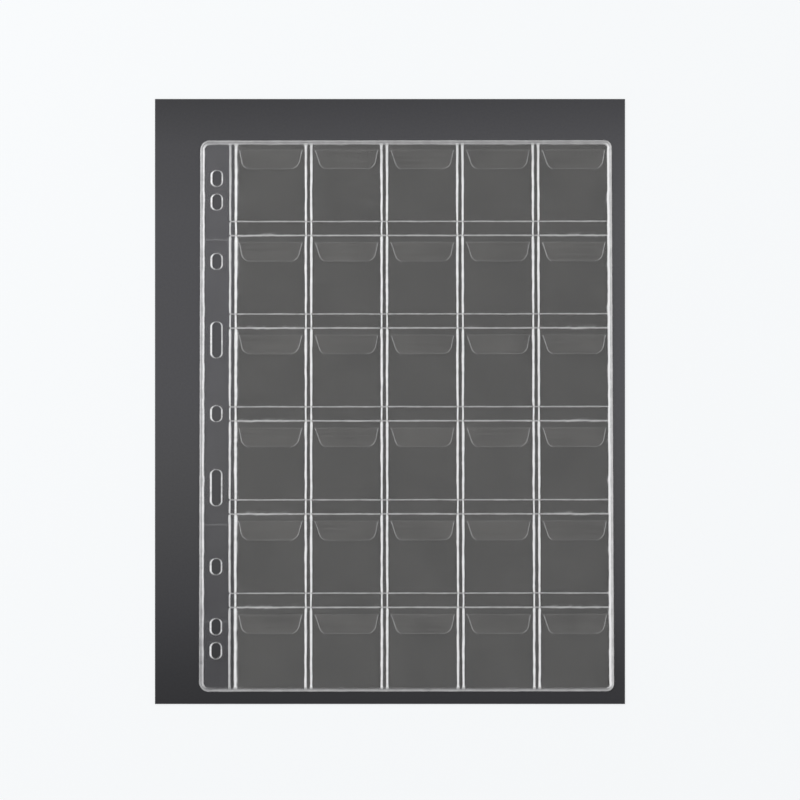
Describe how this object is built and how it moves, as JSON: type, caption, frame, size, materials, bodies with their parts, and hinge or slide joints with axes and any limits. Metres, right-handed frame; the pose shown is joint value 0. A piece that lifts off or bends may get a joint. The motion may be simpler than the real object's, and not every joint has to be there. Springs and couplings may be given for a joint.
{
  "type": "coin album page",
  "caption": "Clear film album page with a punched binding margin, a grid of welded coin pockets and a hinged flap over each pocket mouth.",
  "frame": {"origin": "centre of the page's outline on its flat back face, which it rests on", "axes": "+X to the fore edge, away from the binding margin; +Y to the top edge; +Z out of the front, the side that the flaps lie on"},
  "size_m": [0.21, 0.28, 0.0011],
  "materials": {
    "backing_film": "gloss",
    "front_film": "gloss",
    "flap_film": "gloss"
  },
  "bodies": {
    "page": {"backing_film": "backing_film", "binding_strip": "front_film", "top_flap_strip": "front_film", "pocket_strip_1": "front_film", "pocket_strip_2": "front_film", "pocket_strip_3": "front_film", "pocket_strip_4": "front_film", "pocket_strip_5": "front_film", "pocket_strip_6": "front_film"},
    "flap_1_1": {"flap_1_1": "flap_film"},
    "flap_1_2": {"flap_1_2": "flap_film"},
    "flap_1_3": {"flap_1_3": "flap_film"},
    "flap_1_4": {"flap_1_4": "flap_film"},
    "flap_1_5": {"flap_1_5": "flap_film"},
    "flap_2_1": {"flap_2_1": "flap_film"},
    "flap_2_2": {"flap_2_2": "flap_film"},
    "flap_2_3": {"flap_2_3": "flap_film"},
    "flap_2_4": {"flap_2_4": "flap_film"},
    "flap_2_5": {"flap_2_5": "flap_film"},
    "flap_3_1": {"flap_3_1": "flap_film"},
    "flap_3_2": {"flap_3_2": "flap_film"},
    "flap_3_3": {"flap_3_3": "flap_film"},
    "flap_3_4": {"flap_3_4": "flap_film"},
    "flap_3_5": {"flap_3_5": "flap_film"},
    "flap_4_1": {"flap_4_1": "flap_film"},
    "flap_4_2": {"flap_4_2": "flap_film"},
    "flap_4_3": {"flap_4_3": "flap_film"},
    "flap_4_4": {"flap_4_4": "flap_film"},
    "flap_4_5": {"flap_4_5": "flap_film"},
    "flap_5_1": {"flap_5_1": "flap_film"},
    "flap_5_2": {"flap_5_2": "flap_film"},
    "flap_5_3": {"flap_5_3": "flap_film"},
    "flap_5_4": {"flap_5_4": "flap_film"},
    "flap_5_5": {"flap_5_5": "flap_film"},
    "flap_6_1": {"flap_6_1": "flap_film"},
    "flap_6_2": {"flap_6_2": "flap_film"},
    "flap_6_3": {"flap_6_3": "flap_film"},
    "flap_6_4": {"flap_6_4": "flap_film"},
    "flap_6_5": {"flap_6_5": "flap_film"}
  },
  "joints": [
    {"name": "flap_1_1_hinge", "type": "hinge", "parent": "page", "child": "flap_1_1", "pos_m": [-0.06885, 0.13485, 0.00108], "axis": [-1, 0, 0], "range_deg": [0, 170], "stiffness_Nm_per_rad": 0.00006},
    {"name": "flap_1_2_hinge", "type": "hinge", "parent": "page", "child": "flap_1_2", "pos_m": [-0.03035, 0.13485, 0.00108], "axis": [-1, 0, 0], "range_deg": [0, 170], "stiffness_Nm_per_rad": 0.00006},
    {"name": "flap_1_3_hinge", "type": "hinge", "parent": "page", "child": "flap_1_3", "pos_m": [0.00815, 0.13485, 0.00108], "axis": [-1, 0, 0], "range_deg": [0, 170], "stiffness_Nm_per_rad": 0.00006},
    {"name": "flap_1_4_hinge", "type": "hinge", "parent": "page", "child": "flap_1_4", "pos_m": [0.04665, 0.13485, 0.00108], "axis": [-1, 0, 0], "range_deg": [0, 170], "stiffness_Nm_per_rad": 0.00006},
    {"name": "flap_1_5_hinge", "type": "hinge", "parent": "page", "child": "flap_1_5", "pos_m": [0.08515, 0.13485, 0.00108], "axis": [-1, 0, 0], "range_deg": [0, 170], "stiffness_Nm_per_rad": 0.00006},
    {"name": "flap_2_1_hinge", "type": "hinge", "parent": "page", "child": "flap_2_1", "pos_m": [-0.06885, 0.0877, 0.00108], "axis": [-1, 0, 0], "range_deg": [0, 170], "stiffness_Nm_per_rad": 0.00006},
    {"name": "flap_2_2_hinge", "type": "hinge", "parent": "page", "child": "flap_2_2", "pos_m": [-0.03035, 0.0877, 0.00108], "axis": [-1, 0, 0], "range_deg": [0, 170], "stiffness_Nm_per_rad": 0.00006},
    {"name": "flap_2_3_hinge", "type": "hinge", "parent": "page", "child": "flap_2_3", "pos_m": [0.00815, 0.0877, 0.00108], "axis": [-1, 0, 0], "range_deg": [0, 170], "stiffness_Nm_per_rad": 0.00006},
    {"name": "flap_2_4_hinge", "type": "hinge", "parent": "page", "child": "flap_2_4", "pos_m": [0.04665, 0.0877, 0.00108], "axis": [-1, 0, 0], "range_deg": [0, 170], "stiffness_Nm_per_rad": 0.00006},
    {"name": "flap_2_5_hinge", "type": "hinge", "parent": "page", "child": "flap_2_5", "pos_m": [0.08515, 0.0877, 0.00108], "axis": [-1, 0, 0], "range_deg": [0, 170], "stiffness_Nm_per_rad": 0.00006},
    {"name": "flap_3_1_hinge", "type": "hinge", "parent": "page", "child": "flap_3_1", "pos_m": [-0.06885, 0.04055, 0.00108], "axis": [-1, 0, 0], "range_deg": [0, 170], "stiffness_Nm_per_rad": 0.00006},
    {"name": "flap_3_2_hinge", "type": "hinge", "parent": "page", "child": "flap_3_2", "pos_m": [-0.03035, 0.04055, 0.00108], "axis": [-1, 0, 0], "range_deg": [0, 170], "stiffness_Nm_per_rad": 0.00006},
    {"name": "flap_3_3_hinge", "type": "hinge", "parent": "page", "child": "flap_3_3", "pos_m": [0.00815, 0.04055, 0.00108], "axis": [-1, 0, 0], "range_deg": [0, 170], "stiffness_Nm_per_rad": 0.00006},
    {"name": "flap_3_4_hinge", "type": "hinge", "parent": "page", "child": "flap_3_4", "pos_m": [0.04665, 0.04055, 0.00108], "axis": [-1, 0, 0], "range_deg": [0, 170], "stiffness_Nm_per_rad": 0.00006},
    {"name": "flap_3_5_hinge", "type": "hinge", "parent": "page", "child": "flap_3_5", "pos_m": [0.08515, 0.04055, 0.00108], "axis": [-1, 0, 0], "range_deg": [0, 170], "stiffness_Nm_per_rad": 0.00006},
    {"name": "flap_4_1_hinge", "type": "hinge", "parent": "page", "child": "flap_4_1", "pos_m": [-0.06885, -0.0066, 0.00108], "axis": [-1, 0, 0], "range_deg": [0, 170], "stiffness_Nm_per_rad": 0.00006},
    {"name": "flap_4_2_hinge", "type": "hinge", "parent": "page", "child": "flap_4_2", "pos_m": [-0.03035, -0.0066, 0.00108], "axis": [-1, 0, 0], "range_deg": [0, 170], "stiffness_Nm_per_rad": 0.00006},
    {"name": "flap_4_3_hinge", "type": "hinge", "parent": "page", "child": "flap_4_3", "pos_m": [0.00815, -0.0066, 0.00108], "axis": [-1, 0, 0], "range_deg": [0, 170], "stiffness_Nm_per_rad": 0.00006},
    {"name": "flap_4_4_hinge", "type": "hinge", "parent": "page", "child": "flap_4_4", "pos_m": [0.04665, -0.0066, 0.00108], "axis": [-1, 0, 0], "range_deg": [0, 170], "stiffness_Nm_per_rad": 0.00006},
    {"name": "flap_4_5_hinge", "type": "hinge", "parent": "page", "child": "flap_4_5", "pos_m": [0.08515, -0.0066, 0.00108], "axis": [-1, 0, 0], "range_deg": [0, 170], "stiffness_Nm_per_rad": 0.00006},
    {"name": "flap_5_1_hinge", "type": "hinge", "parent": "page", "child": "flap_5_1", "pos_m": [-0.06885, -0.05375, 0.00108], "axis": [-1, 0, 0], "range_deg": [0, 170], "stiffness_Nm_per_rad": 0.00006},
    {"name": "flap_5_2_hinge", "type": "hinge", "parent": "page", "child": "flap_5_2", "pos_m": [-0.03035, -0.05375, 0.00108], "axis": [-1, 0, 0], "range_deg": [0, 170], "stiffness_Nm_per_rad": 0.00006},
    {"name": "flap_5_3_hinge", "type": "hinge", "parent": "page", "child": "flap_5_3", "pos_m": [0.00815, -0.05375, 0.00108], "axis": [-1, 0, 0], "range_deg": [0, 170], "stiffness_Nm_per_rad": 0.00006},
    {"name": "flap_5_4_hinge", "type": "hinge", "parent": "page", "child": "flap_5_4", "pos_m": [0.04665, -0.05375, 0.00108], "axis": [-1, 0, 0], "range_deg": [0, 170], "stiffness_Nm_per_rad": 0.00006},
    {"name": "flap_5_5_hinge", "type": "hinge", "parent": "page", "child": "flap_5_5", "pos_m": [0.08515, -0.05375, 0.00108], "axis": [-1, 0, 0], "range_deg": [0, 170], "stiffness_Nm_per_rad": 0.00006},
    {"name": "flap_6_1_hinge", "type": "hinge", "parent": "page", "child": "flap_6_1", "pos_m": [-0.06885, -0.1009, 0.00108], "axis": [-1, 0, 0], "range_deg": [0, 170], "stiffness_Nm_per_rad": 0.00006},
    {"name": "flap_6_2_hinge", "type": "hinge", "parent": "page", "child": "flap_6_2", "pos_m": [-0.03035, -0.1009, 0.00108], "axis": [-1, 0, 0], "range_deg": [0, 170], "stiffness_Nm_per_rad": 0.00006},
    {"name": "flap_6_3_hinge", "type": "hinge", "parent": "page", "child": "flap_6_3", "pos_m": [0.00815, -0.1009, 0.00108], "axis": [-1, 0, 0], "range_deg": [0, 170], "stiffness_Nm_per_rad": 0.00006},
    {"name": "flap_6_4_hinge", "type": "hinge", "parent": "page", "child": "flap_6_4", "pos_m": [0.04665, -0.1009, 0.00108], "axis": [-1, 0, 0], "range_deg": [0, 170], "stiffness_Nm_per_rad": 0.00006},
    {"name": "flap_6_5_hinge", "type": "hinge", "parent": "page", "child": "flap_6_5", "pos_m": [0.08515, -0.1009, 0.00108], "axis": [-1, 0, 0], "range_deg": [0, 170], "stiffness_Nm_per_rad": 0.00006}
  ]
}
